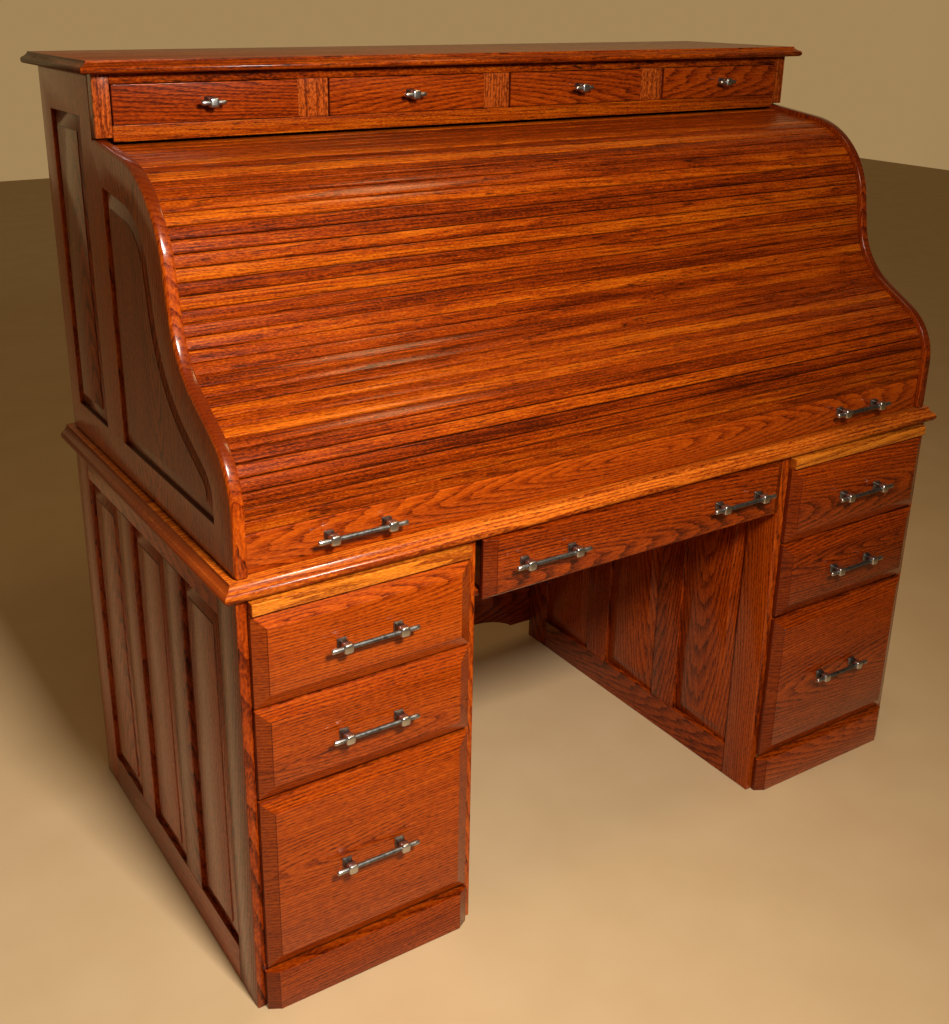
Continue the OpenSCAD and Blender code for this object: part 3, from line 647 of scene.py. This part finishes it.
def soft_square(x, y, z, half, corner, n=4):
    """A square with round corners in the plane across Y."""
    points = []
    for quarter in range(4):
        turn = math.pi / 2 * quarter
        cx = (half - corner) * (1 if quarter in (0, 3) else -1)
        cz = (half - corner) * (1 if quarter in (0, 1) else -1)
        for k in range(n + 1):
            a = turn + math.pi / 2 * k / n
            points.append((x + cx + corner * math.cos(a), y, z + cz + corner * math.sin(a)))
    return points


bar_behind_face = 7 * MM
bar_sides = 20


def pull(bm, x, z, wall_y, reach, posts, length):
    """One pull on a wall at wall_y, which sticks out towards -Y.

    A ring of a post is its distance from the wall, half width, corner and shine, and
    one of the bar is its place along the bar in metres, radius and shine. All other
    lengths are in millimetres.
    """
    deep = reach / MM
    bar_y = wall_y - reach + bar_behind_face
    for post in posts:
        profile = [(0, 7.8, 0.8, 0.0), (-2.0, 7.8, 0.8, 0.3), (-3.0, 7.2, 1.0, 0.1),
                   (14.6 - deep, 5.4, 1.6, 0.0), (13.8 - deep, 5.8, 1.8, 0.2),
                   (13.0 - deep, 7.2, 2.4, 0.5), (12.0 - deep, 7.7, 2.8, 0.6),
                   (2.8 - deep, 7.7, 3.2, 0.8), (1.1 - deep, 7.0, 3.2, 1.0),
                   (0.3 - deep, 5.6, 3.0, 1.0), (-deep, 3.6, 2.0, 0.9)]
        ring_loft(bm, [soft_square(x + post, wall_y + dy * MM, z, half * MM, corner * MM)
                       for dy, half, corner, shine in profile], [p[3] for p in profile])
    ends = [(-length / 2, 1.8, 1.0), (-length / 2 + 0.8 * MM, 3.2, 1.0),
            (-length / 2 + 2 * MM, 4.0, 0.9), (-length / 2 + 9 * MM, 4.0, 0.6),
            (-length / 2 + 18 * MM, 3.9, 0.2)]
    rods = ends + [(0, 3.6, 0.1)] + [(-at, r, shine) for at, r, shine in reversed(ends)]
    ring_loft(bm, [[(x + at, bar_y + r * MM * math.cos(a), z + r * MM * math.sin(a))
                    for a in (2 * math.pi * k / bar_sides for k in range(bar_sides))]
                   for at, r, _ in rods],
              [rod[2] for rod in rods])


pull_length, post_place = 150 * MM, 48 * MM
hardware = [n for n in frame["nodes"] if "pull" in n or "knob" in n]
for node in sorted(hardware):
    lo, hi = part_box(node)
    pair = (hi.x - lo.x) > 2 * pull_length
    length = pull_length if "pull" in node else hi.x - lo.x
    posts = (-post_place, post_place) if "pull" in node else (0.0,)
    centres = [lo.x + length / 2, hi.x - length / 2] if pair else [(lo.x + hi.x) / 2]
    bm = bmesh.new()
    bm.verts.layers.float.new("rubbed")
    for x in centres:
        pull(bm, x, (lo.z + hi.z) / 2, hi.y, hi.y - lo.y, posts, length)
    bmesh.ops.recalc_face_normals(bm, faces=bm.faces)
    mesh = bpy.data.meshes.new(node + "_cast")
    bm.to_mesh(mesh)
    bm.free()
    for polygon in mesh.polygons:
        polygon.use_smooth = True
    mesh.set_sharp_from_angle(angle=math.radians(38))
    mesh.materials.append(pewter)
    piece = bpy.data.objects.new(node + "_cast", mesh)
    bpy.context.scene.collection.objects.link(piece)
    place(piece, node, "pewter")
print("pulls and knobs:", len(hardware))

# %% [markdown]
# ## The lift rail
# The lowest board of the roll is thicker than a slat and carries two pulls. A
# tongue at each end rides in the track that is routed in the S-shaped sides.

# %% Lift rail and tongues
place(finish(merged_copy("lift_rail"), "lift_rail_finished", plain_oak, 2.6, steps=3,
             grain=dict(heart=(0.02, 0.03), spread=0.02)), "lift_rail", "oak")
place(finish(merged_copy("lift_rail_tongues"), "lift_rail_tongues_finished", straight_oak, 0.5,
             grain=dict(along=2)), "lift_rail_tongues", "oak")

# %% [markdown]
# ## The slats
# The curtain is a row of equal slats, so one slat is drawn once and Geometry
# Nodes set it out along the track. The tree takes points, one for each slat,
# and each point carries the turn of the track there, the slat's place in the
# log and its tone. A slat is a rectangle with round corners, filled and drawn
# out to its length, with a thin tongue at each end. The pieces of the frame say
# where the points are: the end face of each slat's tongue is a rectangle whose
# middle lies on the track and whose long side points along it.

# %% The tree that sets out slats
slat_tree = bpy.data.node_groups.new("slats on a track", "GeometryNodeTree")
slat_tree.is_modifier = True
slat_sizes = {"Slat length": 1.444, "Slat width": 19.4 * MM, "Slat thickness": 10 * MM,
              "Rounding": 2.6 * MM, "Line depth": 1.5 * MM, "Tongue length": 7 * MM,
              "Tongue thickness": 5 * MM}
slat_tree.interface.new_socket("Geometry", in_out="INPUT", socket_type="NodeSocketGeometry")
socket_ids = {}
for word in slat_sizes:
    made = slat_tree.interface.new_socket(word, in_out="INPUT", socket_type="NodeSocketFloat")
    socket_ids[word] = made.identifier
made = slat_tree.interface.new_socket("Finish", in_out="INPUT", socket_type="NodeSocketMaterial")
socket_ids["Finish"] = made.identifier
slat_tree.interface.new_socket("Geometry", in_out="OUTPUT", socket_type="NodeSocketGeometry")

given = add(slat_tree, "NodeGroupInput").outputs
half_length = maths(slat_tree, "MULTIPLY", given["Slat length"], 0.5)
outline = add(slat_tree, "GeometryNodeCurvePrimitiveQuadrilateral",
              {"Width": given["Slat width"], "Height": given["Slat thickness"]})
rounded = add(slat_tree, "GeometryNodeFilletCurve", {"Curve": outline.outputs[0],
              "Radius": given["Rounding"], "Count": 4}, mode="POLY")
face = add(slat_tree, "GeometryNodeFillCurve", {"Curve": rounded.outputs[0]}, mode="NGONS")
drawn = add(slat_tree, "GeometryNodeExtrudeMesh", {"Mesh": face.outputs[0],
            "Offset": (0, 0, 1), "Offset Scale": given["Slat length"], "Individual": False})
foot = add(slat_tree, "GeometryNodeFlipFaces", {"Mesh": face.outputs[0]})
shift_down = add(slat_tree, "ShaderNodeCombineXYZ", {
    "Y": given["Line depth"], "Z": maths(slat_tree, "MULTIPLY", half_length, -1.0)})
both = add(slat_tree, "GeometryNodeJoinGeometry")
slat_tree.links.new(drawn.outputs["Mesh"], both.inputs[0])
slat_tree.links.new(foot.outputs[0], both.inputs[0])
welded = add(slat_tree, "GeometryNodeMergeByDistance", {"Geometry": both.outputs[0],
                                                        "Distance": 0.01 * MM})
body = add(slat_tree, "GeometryNodeTransform", {"Geometry": welded.outputs[0],
                                                "Translation": shift_down.outputs[0]})
slat = add(slat_tree, "GeometryNodeJoinGeometry")
slat_tree.links.new(body.outputs[0], slat.inputs[0])
tongue = add(slat_tree, "GeometryNodeMeshCube", {"Size": add(slat_tree, "ShaderNodeCombineXYZ", {
    "X": maths(slat_tree, "SUBTRACT", given["Slat width"], 0.8 * MM),
    "Y": given["Tongue thickness"], "Z": given["Tongue length"]}).outputs[0]})
for way in (-1.0, 1.0):
    reach = maths(slat_tree, "MULTIPLY", maths(slat_tree, "ADD", half_length, maths(
        slat_tree, "MULTIPLY", given["Tongue length"], 0.5)), way)
    moved = add(slat_tree, "GeometryNodeTransform", {
        "Geometry": tongue.outputs[0],
        "Translation": add(slat_tree, "ShaderNodeCombineXYZ", {"Z": reach}).outputs[0]})
    slat_tree.links.new(moved.outputs[0], slat.inputs[0])
here = add(slat_tree, "ShaderNodeSeparateXYZ", {0: add(slat_tree,
                                                       "GeometryNodeInputPosition").outputs[0]})
fibres = add(slat_tree, "ShaderNodeCombineXYZ", {"X": here.outputs["Z"], "Y": here.outputs["X"],
                                                 "Z": here.outputs["Y"]})
marked = add(slat_tree, "GeometryNodeStoreNamedAttribute", {
    "Geometry": slat.outputs[0], "Name": "grain", "Value": fibres.outputs[0]},
    data_type="FLOAT_VECTOR", domain="POINT")
turn = add(slat_tree, "GeometryNodeInputNamedAttribute", {"Name": "turn"},
           data_type="FLOAT_VECTOR")
spin = add(slat_tree, "FunctionNodeEulerToRotation", {0: turn.outputs[0]})
laid = add(slat_tree, "GeometryNodeInstanceOnPoints", {
    "Points": given["Geometry"], "Instance": marked.outputs[0], "Rotation": spin.outputs[0]})
real = add(slat_tree, "GeometryNodeRealizeInstances", {"Geometry": laid.outputs[0]})
own = [add(slat_tree, "GeometryNodeInputNamedAttribute", {"Name": word},
           data_type="FLOAT_VECTOR").outputs[0] for word in ("grain", "log_place")]
shifted = add(slat_tree, "GeometryNodeStoreNamedAttribute", {
    "Geometry": real.outputs[0], "Name": "grain",
    "Value": add(slat_tree, "ShaderNodeVectorMath", {0: own[0], 1: own[1]}).outputs[0]},
    data_type="FLOAT_VECTOR", domain="POINT")
dressed = add(slat_tree, "GeometryNodeSetMaterial", {"Geometry": shifted.outputs[0],
                                                     "Material": given["Finish"]})
add(slat_tree, "NodeGroupOutput", {"Geometry": dressed.outputs[0]})

# %% [markdown]
# ## One mesh for each group of slats
# The curtain bends, but a body is stiff, so the slats move in ten groups. Each
# group's slats become one plain mesh. Under them runs the canvas that joins
# them, which keeps its shape from the frame and gets its weave. Each strip was cut
# as long as its slats are wide together, and is glued to them without a crease.

# %% Set out the slats
rng = random.Random(11)
tongue_end, canvas_edge = 0.725, 0.715
tongue_length_along = 18.6 * MM
slat_count = 0
for number in range(1, 11):
    node = f"tambour_{number}"
    bm = merged_copy(node)
    raw = bpy.data.meshes.new("sorting")
    bm.to_mesh(raw)
    bm.free()
    co = np.array([v.co for v in raw.vertices])
    points, turns = [], []
    for board in boards_of(raw):
        ends = co[board]
        if ends[:, 0].max() < tongue_end:
            continue
        ends = ends[ends[:, 0] > ends[:, 0].max() - 0.01 * MM]
        middle = ends.mean(0)
        far = max(((a, b) for a in ends for b in ends),
                  key=lambda ab: -abs(np.linalg.norm(ab[0] - ab[1]) - tongue_length_along))
        along = (far[1] - far[0]) / np.linalg.norm(far[1] - far[0])
        outward = np.array((0, -along[2], along[1]))
        points.append((0, middle[1], middle[2]))
        turns.append((along, outward))
    bpy.data.meshes.remove(raw)
    order = sorted(range(len(points)), key=lambda i: points[i][2] * 0.5 + points[i][1])
    cloud_mesh = bpy.data.meshes.new("slat points")
    cloud_mesh.from_pydata([points[i] for i in order], [], [])
    values = {"turn": [], "log_place": [], "tone": []}
    for i in order:
        along, outward = turns[i]
        if outward[1] * -1 + outward[2] < 0:
            along, outward = -along, -outward
        values["turn"].append(Matrix(((0, 0, 1), (along[1], outward[1], 0),
                                      (along[2], outward[2], 0))).to_euler())
        values["log_place"].append((rng.uniform(-0.4, 0.4), rng.uniform(-0.3, 0.3),
                                    rng.uniform(0.05, 0.3)))
        values["tone"].append(rng.uniform(-1.2, 1.2))
    for word in ("turn", "log_place"):
        made = cloud_mesh.attributes.new(word, "FLOAT_VECTOR", "POINT")
        made.data.foreach_set("vector", np.array(values[word], np.float32).ravel())
    made = cloud_mesh.attributes.new("tone", "FLOAT", "POINT")
    made.data.foreach_set("value", np.array(values["tone"], np.float32))
    piece = bpy.data.objects.new(f"slats_{number}", cloud_mesh)
    bpy.context.scene.collection.objects.link(piece)
    setter = piece.modifiers.new("slats", "NODES")
    setter.node_group = slat_tree
    for word, size in slat_sizes.items():
        setter[socket_ids[word]] = size
    setter[socket_ids["Finish"]] = straight_oak
    depsgraph = bpy.context.evaluated_depsgraph_get()
    mesh = bpy.data.meshes.new_from_object(piece.evaluated_get(depsgraph))
    piece.modifiers.remove(setter)
    piece.data = mesh
    mesh.name = f"slats_{number}"
    for polygon in mesh.polygons:
        polygon.use_smooth = True
    mesh.set_sharp_from_angle(angle=math.radians(35))
    slat_count += len(points)
    place(piece, node, "oak")
    strip = finish(merged_copy(node, lambda lo, hi: hi[0] < canvas_edge),
                   f"canvas_{number}", canvas, 0.1)
    place(strip, node, "pale_wood")
print("slats:", slat_count)
